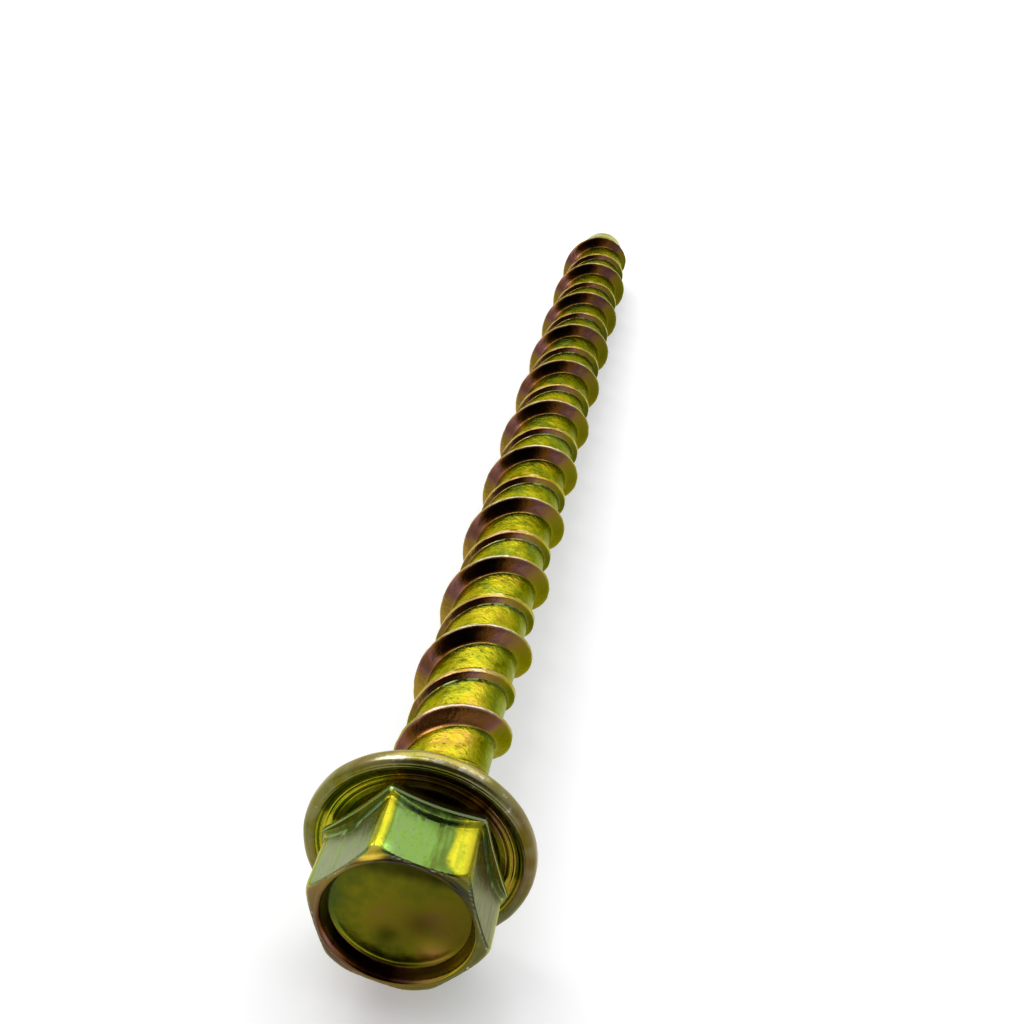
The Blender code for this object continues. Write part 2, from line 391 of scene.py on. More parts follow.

# %% [markdown]
# The flanks that face the head are brown and black, and end in olive on the right: painted
# reflections and shade. A value below zero in their shading brightens: it is painted light, for
# the light that other shiny faces throw on them.

# %% Film on the flanks
FLANK_REFLECTION = (
    (-180, 0.30), (-88, 0.38), (-80, 0.30), (-70, 0.20), (-56, 0.24), (-45, 0.08), (-30, 0.01),
    (-8, 0.01), (4, 0.11), (17, 0.19), (28, 0.24), (42, 0.29), (54, 0.40), (68, 0.48),
    (90, 0.50), (130, 0.45), (180, 0.30),
)
FLANK_SHADE_AND_LIGHT = (
    (-180, 0.0), (-88, 0.35), (-72, 0.30), (-56, -0.40), (-42, -0.1), (-20, 0.1), (8, 0.12),
    (20, 0.42), (36, 0.62), (90, 0.62), (180, 0.0),
)
NEAR_HEAD_REFLECTION = 0.185
NEAR_HEAD_SHADE_AND_LIGHT = (
    (-180, 0.3), (-55, 0.3), (-42, 0.1), (-30, -0.8), (-14, -0.7), (-2, -0.1), (10, 0.25),
    (27, 0.50), (180, 0.60),
)
# Painted reflection and shade by side; more painted shade towards the tip on the right.
flank_film = look_up(side, FLANK_REFLECTION) + 0.03 * cloudy(points, 1.5, 15)
flank_film = lerp(flank_film, NEAR_HEAD_REFLECTION, near_head) + 0.10 * low_flank
flank_tarnish = lerp(look_up(side, FLANK_SHADE_AND_LIGHT), look_up(side, NEAR_HEAD_SHADE_AND_LIGHT), near_head)
flank_tarnish += 0.12 * far * (side > 15)
film = np.where(flank, flank_film, film)
tarnish = np.where(flank, flank_tarnish, tarnish)
mottle = np.where(flank, 0.14, mottle)
seen = film[flank]
print("flank film from", round(float(seen.min()), 2), "to", round(float(seen.max()), 2))

# %% [markdown]
# The crests rub against everything, so their film is thin and broken and the zinc shows.
# The bare zinc is also their painted highlight, which fades towards the tip and on the sides
# turned away, where painted shade darkens them.

# %% Crests, tip and wear


def store(piece, **numbers):
    """Keeps one number of each name for each point, for the material to read."""
    for name, values in numbers.items():
        layer = piece.data.attributes.new(name, "FLOAT", "POINT")
        layer.data.foreach_set("value", np.full(len(layer.data), values, np.float32))


film = lerp(film, 0.39, crest_line)
# Painted shade on the crests towards the tip and on the sides turned away.
tarnish = lerp(tarnish, 0.36 * far + 0.34 * turned_away, crest_line)
mottle = lerp(mottle, 0.30, crest_line)
tip_face = along > LENGTH - 0.01
tip_cone = (along > LENGTH - 2.6) & ~tip_face
film = np.where(tip_face, 0.36, film)
tarnish = np.where(tip_face, 0.2, np.where(tip_cone, 0.55, tarnish))
mottle = np.where(tip_face, 0.3, mottle)
ragged = cloudy(points, 0.7, 5)
worn = np.maximum.reduce([
    tall_crest * (0.75 + 0.5 * ragged),
    low_crest * (0.20 + 0.4 * ragged),
    bell(from_low + 0.44, 0.05) * (0.5 + 0.9 * ragged) * grown,
    0.30 * (along > LENGTH - 0.03),
])
# Painted highlight: the bare zinc fades towards the tip and on the sides turned away.
worn = np.clip(worn, 0, 1) * (1.0 - 0.45 * far) * (1.0 - 0.55 * turned_away)
store(shank, film=film, tarnish=tarnish, mottle=mottle, worn=worn, grain=0.0, brushed=0.0)
print("shank film from", round(float(film.min()), 2), "to", round(float(film.max()), 2))

# %% [markdown]
# ## The washer flange
# The flange is upset with the head in one blow, and its top stands a little higher at the rim.
# It is round, so half of its section is drawn once and spun about the axis. The rim of the real
# one isn't a true circle, so a little noise moves it afterwards.

# %% Spin the flange
FLANGE_STEPS = 256
FLANGE_SECTION = (
    (0.0, 0.0), (3.6, 0.0), (4.6, 0.0), (5.10, 0.0), (5.25, 0.010), (5.40, 0.055), (5.55, 0.135),
    (5.70, 0.255), (5.80, 0.355), (5.860, 0.450), (5.879, 0.540), (5.882, 0.660), (5.878, 0.800),
    (5.862, 0.920), (5.825, 1.020), (5.765, 1.100), (5.68, 1.160), (5.57, 1.195), (5.45, 1.210),
    (5.34, 1.212), (5.25, 1.195), (5.16, 1.150), (5.07, 1.095), (4.97, 1.045), (4.88, 1.010),
    (4.75, 1.000), (4.40, 1.000), (4.00, 1.000), (3.2, 1.000), (0.0, 1.000),
)
RIM_SHRINK = 0.03
flange = outline_object("washer_flange", [at(0.0, out, -height) for out, height in FLANGE_SECTION])
start_editing(flange)
bpy.ops.mesh.spin(steps=FLANGE_STEPS, angle=2.0 * math.pi, center=(0, 0, 0), axis=(0, 1, 0))
bpy.ops.mesh.select_all(action="SELECT")
bpy.ops.mesh.remove_doubles(threshold=1e-6)
stop_editing()
points = mesh_points(flange)
radius, along, angle = ring_places(points)
outer = ease((radius - 4.9) / 0.7)
wobble = (cloudy(points, 6.0, 6) * 0.030 + cloudy(points, 1.2, 7) * 0.010) * outer
moved = (wobble - RIM_SHRINK * outer) / np.maximum(radius, 0.1)
scale_from_axis(flange, points, 1.0 + np.where(radius > 0.1, moved, 0.0))
print("flange points:", len(points))

# %% [markdown]
# The dish between the head and the rim is brown just right of the top, a painted reflection of
# the head; its left is brightened by painted light and its right darkened by painted shade. The
# rim is darkened by painted shade, more on the right, and less at the top of its outer edge as a
# painted highlight. Two more numbers draw the lines of the tool: `grain` grows across them, here
# with the distance from the axis, and `brushed` says how deep they are.

# %% Film on the flange
DISH_FILM_AND_REFLECTION = (
    (-180, 0.45), (-110, 0.52), (-60, 0.50), (-25, 0.44), (-8, 0.25), (5, 0.12), (25, 0.12),
    (42, 0.30), (60, 0.36), (90, 0.42), (180, 0.45),
)
side = turn_from(angle, 180.0)
dish = (along < -0.9) & (radius < 5.25)
dish_film = look_up(side, DISH_FILM_AND_REFLECTION) + 0.05 * cloudy(points, 2.0, 9)
# Painted light on the left of the dish, painted shade on its right.
dish_tarnish = -0.45 + 0.45 * ease((side - 25.0) / 40.0) + 0.30 * bell(side - 58.0, 18.0)
rim_film = 0.47 + 0.09 * cloudy(points, 3.0, 8)
rim_film += 0.05 * bell(side + 70.0, 40.0) - 0.07 * bell(side - 75.0, 30.0)
rim_tarnish = 0.56 + 0.14 * ease((side - 20.0) / 30.0) - 0.15 * bell(side, 35.0) * (radius > 5.75)
film = np.where(dish, dish_film, rim_film)
tarnish = np.where(dish, dish_tarnish, rim_tarnish)
# Painted highlight: a broken streak of bare zinc along the top of the rim; the scuffs are wear.
broken = 0.50 + 0.60 * cloudy(points, 1.2, 16)
rim_highlight = bell(along + 0.95, 0.16) * (radius > 5.5) * bell(side - 2.0, 50.0) * broken
scuffed = (0.17 + 0.22 * cloudy(points, 1.7, 19)) * ease((radius - 5.1) / 0.3)
worn = np.clip(np.maximum(rim_highlight, scuffed), 0, 1)
store(flange, film=film, tarnish=tarnish, mottle=0.30, worn=worn, grain=radius, brushed=1.0)
print("flange film from", round(float(film.min()), 2), "to", round(float(film.max()), 2))

# %% [markdown]
# ## The hexagon head
# The head is forged, so no edge on it is truly straight. Each flat flares out at its foot into
# a ledge that sags at the corners, and the top rounds over a shoulder into the cup. A hexagonal
# prism with bevels can't do that. So the head is described by rules: one for its outline and
# one for its height, in each direction.

# %% Outline rules for the head
APOTHEM = 4.0
CORNER_ROUND = 0.45
HEX_TURN = 39.7
HALF_FLAT = math.pi / 6  # half the turn that one flat spans
DISH_HEIGHT = 1.00
UNDERCUT = 0.45
LEDGE_CORNER = 4.799
LEDGE_ROUND = 0.22
LEDGE_BOTTOM = 1.66
LEDGE_TOP = 1.96
LEDGE_RISE = 0.24
LEDGE_BEVEL = 0.05
FLARE_LENGTH = 0.99
SHOULDER = 3.95
SHOULDER_DEPTH = 0.62
SHOULDER_TOP = 5.94
CORNER = (APOTHEM - CORNER_ROUND) / math.cos(HALF_FLAT) + CORNER_ROUND


def hexagon(angle, apothem, corner_round):
    """Radius of a hexagon with rounded corners in each direction."""
    turn = np.radians(np.abs((angle - HEX_TURN) % 60.0 - 30.0))
    inner = apothem - corner_round
    on_flat = np.tan(turn) * apothem <= inner * math.tan(HALF_FLAT)
    centre = inner / math.cos(HALF_FLAT)
    off = HALF_FLAT - turn
    reach = np.maximum(corner_round**2 - (centre * np.sin(off)) ** 2, 0.0)
    return np.where(on_flat, apothem / np.cos(turn), centre * np.cos(off) + np.sqrt(reach))


def ledge_outline(angle):
    apothem = (LEDGE_CORNER - LEDGE_ROUND) * math.cos(HALF_FLAT) + LEDGE_ROUND
    return hexagon(angle, apothem, LEDGE_ROUND)


def ledge_sag(angle):
    from_flat = np.abs((angle - HEX_TURN) % 60.0 - 30.0)
    return LEDGE_RISE * (1.0 - (from_flat / 30.0) ** 2)


def shoulder_outline(height):
    below = np.clip((SHOULDER_TOP - height) / SHOULDER_DEPTH, 0.0, 1.0)
    if below >= 1.0:
        return math.inf
    return SHOULDER + (CORNER - SHOULDER) * math.sqrt(1.0 - (1.0 - below) ** 2)


def body_outline(angle, height):
    plain = hexagon(angle, APOTHEM, CORNER_ROUND)
    flare = float(lerp(LEDGE_CORNER, APOTHEM, (height - LEDGE_TOP) / FLARE_LENGTH))
    flared = np.maximum(plain, np.minimum(ledge_outline(angle), flare))
    return np.minimum(flared, shoulder_outline(height))


print("corner radius, mm:", round(CORNER, 3))

# %% [markdown]
# The rules make a list of rings, from the foot of the head, up its flats, over the shoulder and
# down into the cup.

# %% List the rings of the head
CUP_WALL = (
    (3.90, 5.985), (3.84, 6.0), (3.78, 5.995), (3.73, 5.97), (3.69, 5.92), (3.65, 5.84),
    (3.61, 5.70), (3.57, 5.50), (3.53, 5.32), (3.49, 5.20), (3.44, 5.12), (3.38, 5.07),
    (3.30, 5.052), (3.2, 5.05),
)
CUP_FLOOR = [(3.05 - 0.15 * k, 5.045 - 0.001 * k) for k in range(20)]


def steady(value):
    """A rule that gives the same value in each direction."""
    return lambda angle: value + 0 * angle


def inset_ledge(inset):
    return lambda angle: ledge_outline(angle) - inset


def sagging(height, share=1.0):
    return lambda angle: height + share * ledge_sag(angle)


def head_rings():
    """(outline, height) rules from the foot of the head to the floor of its cup."""
    rings = [
        (inset_ledge(UNDERCUT + 0.10), steady(0.80)),
        (inset_ledge(UNDERCUT), steady(DISH_HEIGHT)),
    ]
    for k in range(1, 6):
        height = lerp(DISH_HEIGHT, LEDGE_BOTTOM, k / 6)
        rings.append((inset_ledge(UNDERCUT * (1 - k / 6)), sagging(height, k / 6)))
    for share in (0.0, 0.25, 0.5, 0.75, 1.0):
        inset = LEDGE_BEVEL if share in (0.0, 1.0) else 0.0
        rings.append((inset_ledge(inset), sagging(lerp(LEDGE_BOTTOM, LEDGE_TOP, share))))
    for k in range(1, 13):
        height = LEDGE_TOP + FLARE_LENGTH * k / 12
        rings.append((partial(body_outline, height=height), sagging(height, 1.0 - k / 12)))
    heights = [
        lerp(LEDGE_TOP + FLARE_LENGTH, SHOULDER_TOP - SHOULDER_DEPTH, k / 6) for k in range(1, 7)]
    for k in range(1, 13):
        rise = math.sin(math.pi / 2 * k / 12)
        heights.append(SHOULDER_TOP - SHOULDER_DEPTH * (1.0 - rise))
    for height in heights:
        rings.append((partial(body_outline, height=height), steady(height)))
    for out, height in list(CUP_WALL) + CUP_FLOOR:
        rings.append((steady(out), steady(height)))
    return rings


rings = head_rings()
print("rings in the head:", len(rings))

# %% [markdown]
# The head then grows like a pot on a wheel. A filled circle is extruded again and again, and
# each new ring takes its own outline and height.

# %% Grow the head ring by ring
HEAD_POINTS = 360
bpy.ops.object.select_all(action="DESELECT")
bpy.ops.mesh.primitive_circle_add(
    vertices=HEAD_POINTS, radius=4 * MM, fill_type="NGON", rotation=(math.pi / 2, 0, 0))
head = bpy.context.object
head.name = "hexagon_head"
bpy.ops.object.transform_apply(location=True, rotation=True, scale=True)


def shape_selected_ring(outline_rule, height_rule):
    edited = bmesh.from_edit_mesh(head.data)
    ring = [vert for vert in edited.verts if vert.select]
    turns = np.array([math.degrees(math.atan2(-v.co.x, -v.co.z)) % 360.0 for v in ring])
    for vert, turn, out, height in zip(ring, turns, outline_rule(turns), height_rule(turns)):
        vert.co = at(turn, out, -height)
    bmesh.update_edit_mesh(head.data)


start_editing(head)
for number, (outline_rule, height_rule) in enumerate(rings):
    if number:
        bpy.ops.mesh.extrude_region()
    shape_selected_ring(outline_rule, height_rule)
stop_editing()
print("head points:", len(head.data.vertices))

# %% [markdown]
# Hammering leaves soft dents. They fade out at the foot and in the cup, whose floor has its own.

# %% Dents of the forging
points = mesh_points(head)
radius, along, angle = ring_places(points)
height = -along
dents = cloudy(points, 3.0, 10) * 0.020 + cloudy(points, 0.9, 11, 2) * 0.005
dents *= ease((radius - 3.2) / 0.3) * ease((height - 1.2) / 0.3)
scale = np.where(radius > 0.4, 1.0 + (dents - 0.012) / np.maximum(radius, 0.4), 1.0)
scale_from_axis(head, points, scale)
floor_dents = cloudy(points, 2.4, 12) * 0.020 * (height > 4.9) * (radius < 3.55)
points[:, 1] += floor_dents * MM
set_mesh_points(head, points)
print("deepest dent in the floor, mm:", round(float(floor_dents.max()), 3))

# %% [markdown]
# ## Film on the head
# The six flats each have their own film, and each is dimmed by its own painted shade.
# `from_flat` is the angle from the middle of a flat. The top flat goes from green to yellow
# across its width, and its yellow end is a painted highlight. The corners are yellow as well.

# %% Film on the flats
FLAT_FILM = np.array([0.70, 0.97, 0.83, 0.98, 0.62, 0.30])
# Painted shade for each flat, darkest on the right flat.
FLAT_SHADE = np.array([0.40, 0.24, 0.52, 0.85, 0.50, 0.30])
TOP_FLAT = 2
RIGHT_FLAT = 3

radius, along, angle = ring_places(points)
height = -along
side = turn_from(angle, 180.0)
flat_number = np.floor(((angle - HEX_TURN) % 360.0) / 60.0).astype(int)
from_flat = (angle - HEX_TURN) % 60.0 - 30.0
hexagon_radius = hexagon(angle, APOTHEM, CORNER_ROUND)
on_top_flat = flat_number == TOP_FLAT
ragged = cloudy(points, 0.9, 17)
film = FLAT_FILM[flat_number] - 0.10 * ease((from_flat + 2.0 + 5.0 * ragged) / 12.0) * on_top_flat
# Painted highlight: the right end of the top flat is yellow and not dimmed.
yellow_end = ease((from_flat - 13.5 + 5.0 * ragged) / 8.0) * on_top_flat
film = film - 0.22 * yellow_end
tarnish = FLAT_SHADE[flat_number] * (1 - yellow_end)
print("points on each flat:", np.bincount(flat_number).tolist())

# %% [markdown]
# The flare at the foot of a flat is dark green, a painted reflection of the dish, and the ledge
# under it is a paler green, partly its colour and partly painted light. The corners are painted
# highlights, with painted shade on the upper-right one and a painted glint high on the upper left.

# %% Film on flares, corners and ledges
foot = LEDGE_TOP + ledge_sag(angle)
reach = lerp(
    LEDGE_CORNER, APOTHEM, (height - LEDGE_TOP - 0.5 * ledge_sag(angle)) / FLARE_LENGTH)
# Painted reflection: the flare is dark green and dimmed.
flare = ease((np.minimum(ledge_outline(angle), reach) - hexagon_radius - 0.02) / 0.12)
flare = flare * (flat_number != TOP_FLAT)
# Painted highlights on the corners; painted shade on the upper-right one, a glint on the upper
# left.
corner = ease((np.abs(from_flat) - 22.5) / 5.0) * (1 - flare)
film = lerp(lerp(film, 0.66, flare), 0.50, corner)
tarnish = lerp(tarnish, 0.55 + 0.25 * (flat_number == RIGHT_FLAT), flare) * (1 - corner)
tarnish += corner * 0.45 * bell(side - 41.0, 7.0)
tarnish -= 0.8 * bell(side + 17.0, 5.0) * ease((height - 5.2) / 0.3) * (radius > 4.2)
# The ledge: partly its colour, partly painted light.
on_ledge = (height < foot + 0.06) & (height > LEDGE_BOTTOM - 0.1)
film = np.where(on_ledge, 0.88, film)
tarnish = np.where(on_ledge, 0.20, tarnish)
print("points on the ledges:", int(on_ledge.sum()))

# %% [markdown]
# The shoulder is brown, with painted highlights at the upper left and the upper right and
# painted shade elsewhere. The lip above it is dark all round, as painted shade.

# %% Film on the shoulder and the lip
SHOULDER_FILM = (
    (-180, 0.42), (-140, 0.27), (-100, 0.26), (-60, 0.38), (-20, 0.40), (0, 0.42), (35, 0.50),
    (50, 0.50), (90, 0.52), (140, 0.48), (180, 0.42),
)
# Painted shade, with painted highlights at the upper left and the upper right.
SHOULDER_SHADE_AND_LIGHT = (
    (-180, 0.72), (-140, 0.66), (-60, 0.58), (-40, 0.0), (-30, -0.9), (-16, -0.9), (-6, 0.80),
    (24, 0.85), (32, 0.35), (46, 0.40), (56, 0.70), (90, 0.68), (180, 0.72),
)
# Painted shade: the lip is dark all round.
LIP_SHADE = (
    (-180, 0.60), (-120, 0.70), (-50, 0.55), (-34, 0.70), (-20, 0.92), (30, 0.96), (60, 0.90),
    (80, 0.70), (180, 0.60),
)
outside_floor = radius > 3.4
rounded = ease((hexagon_radius - radius - 0.06) / 0.10) * (height > 5.2) * outside_floor
lip = ease((height - 5.84 - 0.08 * bell(side + 24.0, 10.0)) / 0.08) * outside_floor * (rounded > 0)
shoulder = np.maximum(rounded, lip)
film = lerp(film, look_up(side, SHOULDER_FILM) + 0.06 * ragged, shoulder)
shoulder_tarnish = lerp(look_up(side, SHOULDER_SHADE_AND_LIGHT), look_up(side, LIP_SHADE), lip)
tarnish = lerp(tarnish, shoulder_tarnish + 0.10 * ragged, shoulder)
print("points on the shoulder:", int((shoulder > 0.5).sum()))

# %% [markdown]
# In the cup the wall is nearly black along its lower half, as painted shade, and the top of the
# wall on the lower left is pink and less dark. The floor has soft patches of painted reflection,
# shade and highlight, placed by two distances from its middle in millimetres, `across` and
# `upward`.

# %% Film in the cup
# Painted shade: nearly black along the lower half of the wall.
WALL_FILM_AND_SHADE = (
    (-180, 0.03), (-150, 0.00), (-100, 0.03), (-60, 0.30), (0, 0.36), (60, 0.36), (120, 0.42),
    (160, 0.34), (180, 0.06),
)
across = -np.sin(np.radians(angle)) * radius
upward = -np.cos(np.radians(angle)) * radius


def patch(right, up, size):
    """A soft round patch on the floor of the cup."""
    return bell(np.hypot(across - right, upward - up), size)


wall = (radius <= 3.76) & outside_floor & (height < 5.99) & (height > 5.0)
upper_wall = ease((height - 5.60) / 0.15)
low_side = ease((165.0 - np.abs(side)) / 15.0) * ease((np.abs(side) - 100.0) / 20.0)
wall_film = look_up(side, WALL_FILM_AND_SHADE) + 0.24 * upper_wall * bell(side + 125.0, 25.0)
wall_tarnish = lerp(0.3 + 0.4 * ease((np.abs(side) - 100.0) / 30.0), 0.15, upper_wall * low_side)
film = np.where(wall, wall_film, film)
tarnish = np.where(wall, wall_tarnish, tarnish)

cup_floor = (radius <= 3.45) & (height < 5.2) & (height > 4.5)
# Painted reflections: warm and darker patches of film on the floor.
floor_film = 0.54 - 0.022 * across + 0.08 * ease((-across - 2.7) / 0.6)
floor_film -= 0.13 * (patch(-1.2, -0.5, 1.1) + patch(1.4, -0.5, 1.3))
floor_film -= 0.12 * patch(1.9, -2.3, 0.9)
floor_film += 0.06 * cloudy(points, 2.5, 13) + 0.05 * cloudy(points, 0.7, 20)
# Painted shade under the upper wall and in two patches; painted highlights at lower right and left
# edge.
floor_tarnish = 0.65 + 0.03 * across + 0.24 * ease((upward - 1.7) / 0.8)
floor_tarnish += 0.22 * patch(-0.5, -1.7, 0.6) + 0.14 * patch(1.0, -0.6, 0.8)
floor_tarnish -= 0.38 * patch(1.9, -2.3, 0.8)
floor_tarnish -= 0.42 * ease((radius - 2.85) / 0.35) * bell(side + 145.0, 32.0)
film = np.where(cup_floor, floor_film, film)
tarnish = np.where(cup_floor, floor_tarnish, tarnish)
print("points in the cup:", int((wall | cup_floor).sum()))

# %% [markdown]
# The punch drew the steel along the flats, which left fine streaks from foot to shoulder. The
# edges of the shoulder and of the ledges are rubbed bare.

# %% Streaks and wear on the head
drawn = np.array([
    noise.fractal(Vector((across_flat * 0.30, number * 5.0, up * 0.35)), 0.6, 2.1, 3)
    for across_flat, number, up in zip(from_flat, flat_number, height)
])
film = film + 0.03 * cloudy(points, 2.0, 14) + 0.07 * drawn * (1 - shoulder) * (radius > 3.9)
edge_wear = 1.80 * rounded * (1.0 - rounded) + 0.10 * rounded
edge_wear = edge_wear + 0.2 * bell(height - foot, 0.08) * (height < foot + 0.3)
edge_wear = edge_wear * (radius > 3.78) * (0.8 + 0.5 * ragged)
on_flats = ease((radius - 3.9) / 0.08) * ease((height - LEDGE_TOP) / 0.2) * (1.0 - shoulder)
store(
    head, film=film, tarnish=tarnish, mottle=np.where(cup_floor, 0.12, 0.24),
    worn=np.clip(edge_wear, 0, 1),
    grain=np.tan(np.radians(from_flat)) * APOTHEM + 9.0 * flat_number, brushed=on_flats)
print("head film from", round(float(film.min()), 2), "to", round(float(film.max()), 2))

# %% [markdown]
# ## Lay the pieces down
# The three pieces are one steel part, so they share one frame and overlap a little where they
# meet. Each is moved from the screw's own axes to the floor, with its place in its mesh.

# %% Place, smooth and ride
for piece, crease in ((shank, 50.0), (flange, 40.0), (head, 38.0)):
    piece.data.transform(LAY)
    select_only(piece)
    bpy.ops.object.shade_smooth_by_angle(angle=math.radians(crease))
    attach(piece, "root")
    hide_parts("concrete_screw")
    print(piece.name, "triangles:", sum(len(face.vertices) - 2 for face in piece.data.polygons))

# %% [markdown]
# ## The chromate film
# Light that meets the film bounces off its top and off the zinc beneath, and the two cancel at
# one colour. Which one depends on the thickness of the film. So a colour ramp stands for
# thickness. The group turns the numbers of each point into a colour, a roughness and a height,
# and the shader itself stays in the material. Three small helpers keep the node lines short.

# %% Node helpers and the sockets of the group
FILM_COLOURS = (
    (0.00, (0.012, 0.006, 0.003)),
    (0.10, (0.085, 0.030, 0.006)),
    (0.17, (0.200, 0.080, 0.014)),
    (0.24, (0.270, 0.112, 0.098)),
    (0.32, (0.400, 0.220, 0.055)),
    (0.42, (0.370, 0.270, 0.018)),
    (0.50, (0.320, 0.295, 0.012)),
    (0.60, (0.190, 0.210, 0.012)),
    (0.70, (0.100, 0.150, 0.025)),
    (0.80, (0.180, 0.320, 0.055)),
    (0.90, (0.200, 0.300, 0.110)),
    (1.00, (0.240, 0.280, 0.190)),
)
PIT_COLOUR = (0.03, 0.03, 0.01)
BARE_ZINC = (0.45, 0.42, 0.31)


def add_node(tree, kind, **settings):
    node = tree.nodes.new(kind)
    for name, value in settings.items():
        setattr(node, name, value)
    return node


def math_node(tree, operation, first, second=None, clamp=False):
    node = add_node(tree, "ShaderNodeMath", operation=operation, use_clamp=clamp)
    for socket, value in zip(node.inputs, (first, second)):
        if isinstance(value, (int, float)):
            socket.default_value = value
        elif value is not None:
            tree.links.new(value, socket)
    return node.outputs[0]


def mix_colour(tree, share, first, second):
    node = add_node(tree, "ShaderNodeMix", data_type="RGBA")
    tree.links.new(share, node.inputs[0])
    for socket, value in ((node.inputs[6], first), (node.inputs[7], second)):
        if isinstance(value, tuple):
            socket.default_value = value + (1.0,)
        else:
            tree.links.new(value, socket)
    return node.outputs[2]


film_group = bpy.data.node_groups.new("chromate_film", "ShaderNodeTree")
for name, low in (("Film and painted light", 0), ("Wear and highlight", 0), ("Tarnish and shade", -2), ("Clouds", 0), ("Wrinkle", 0)):
    socket = film_group.interface.new_socket(name, in_out="INPUT", socket_type="NodeSocketFloat")
    socket.min_value = low
    socket.max_value = 1 if name == "Tarnish and shade" else 2
film_group.interface.new_socket("Place", in_out="INPUT", socket_type="NodeSocketVector")
for name, kind in (("Colour", "Color"), ("Roughness", "Float"), ("Height", "Float")):
    film_group.interface.new_socket(name, in_out="OUTPUT", socket_type="NodeSocket" + kind)
given = add_node(film_group, "NodeGroupInput").outputs
results = add_node(film_group, "NodeGroupOutput").inputs
print("film group takes", [socket.name for socket in given if socket.name])

# %% [markdown]
# Broad noise clouds the thickness and fine noise streaks it, both as much as `Clouds` says. Rare
# specks are pits. The colour is then scaled down by the tarnish and painted shade, and up where
# that is below zero, as painted light. Where the fine noise and the wear number add up, the film
# is gone, for real wear and for painted highlights.

# %% Colour, roughness and height
PIT_LEVEL = 0.66
WORN_LEVEL = 0.74


def noise_value(scale, detail, roughness=0.5, distortion=0.0):
    node = add_node(film_group, "ShaderNodeTexNoise")
    film_group.links.new(given["Place"], node.inputs["Vector"])
    node.inputs["Scale"].default_value = scale
    node.inputs["Detail"].default_value = detail
    node.inputs["Roughness"].default_value = roughness
    node.inputs["Distortion"].default_value = distortion
    return node.outputs["Fac"]


film_math = partial(math_node, film_group)
broad = noise_value(420.0, 3.0)
fine = noise_value(2600.0, 4.0, 0.6, 0.2)
specks = noise_value(5200.0, 2.0)
thickness = given["Film and painted light"]
for swing, weight in ((broad, 0.7), (fine, 0.55)):
    swing = film_math("MULTIPLY", film_math("SUBTRACT", swing, 0.5), given["Clouds"])
    thickness = film_math("ADD", thickness, film_math("MULTIPLY", swing, weight))
ramp = add_node(film_group, "ShaderNodeValToRGB")
while len(ramp.color_ramp.elements) < len(FILM_COLOURS):
    ramp.color_ramp.elements.new(0.5)
for element, (position, colour) in zip(ramp.color_ramp.elements, FILM_COLOURS):
    element.position = position
    element.color = colour + (1.0,)
film_group.links.new(thickness, ramp.inputs["Fac"])
pits = film_math("MULTIPLY", film_math("GREATER_THAN", specks, PIT_LEVEL), given["Clouds"])
pitted = mix_colour(
    film_group, film_math("MULTIPLY", pits, 0.85), ramp.outputs["Color"], PIT_COLOUR)
shaded_colour = add_node(film_group, "ShaderNodeVectorMath", operation="SCALE")
film_group.links.new(pitted, shaded_colour.inputs[0])
film_group.links.new(film_math("SUBTRACT", 1.0, given["Tarnish and shade"]), shaded_colour.inputs["Scale"])
bare = film_math("ADD", fine, film_math("MULTIPLY", given["Wear and highlight"], 0.5))
flecks = film_math("MULTIPLY", film_math("SUBTRACT", bare, WORN_LEVEL), 7.0, clamp=True)
even = film_math("MULTIPLY", given["Wear and highlight"], 0.7)
bare_share = film_math("ADD", flecks, even, clamp=True)
coloured = mix_colour(film_group, bare_share, shaded_colour.outputs["Vector"], BARE_ZINC)
film_group.links.new(coloured, results["Colour"])
rough = film_math("ADD", 0.07, film_math("MULTIPLY", fine, 0.16))
film_group.links.new(rough, results["Roughness"])
film_group.links.new(film_math("MULTIPLY", fine, given["Wrinkle"]), results["Height"])
print("film group nodes:", len(film_group.nodes))

# %% [markdown]
# The rolled shank, the turned flange and the forged head differ in how wrinkled they are and in
# the lines that the tools left. Those lines are a noise in one dimension, read along `grain`.

# %% One material for each way the steel was worked
LINES_IN_FILM = 0.45
LINES_IN_RELIEF = 2.2


